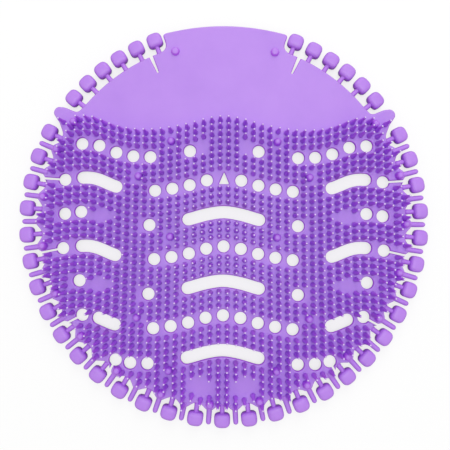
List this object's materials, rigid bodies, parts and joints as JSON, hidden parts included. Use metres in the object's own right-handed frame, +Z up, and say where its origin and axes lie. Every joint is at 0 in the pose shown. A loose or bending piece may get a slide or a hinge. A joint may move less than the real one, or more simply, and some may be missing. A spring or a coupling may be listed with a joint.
{
  "type": "urinal deodorizer screen",
  "caption": "Round soft drain screen with wavy rows of bristles, round holes and curved slots, a smooth crescent, and square paddles and pins round the rim.",
  "frame": {"origin": "under the middle of the outline, on the surface that the screen rests on", "axes": "+Z up through the plate, +Y towards the smooth crescent, +X to the right seen from above"},
  "size_m": [0.1888, 0.186, 0.0115],
  "materials": {
    "soft_vinyl": "soft satin, slightly translucent lavender"
  },
  "bodies": {
    "root": {"screen": "soft_vinyl"}
  },
  "joints": []
}
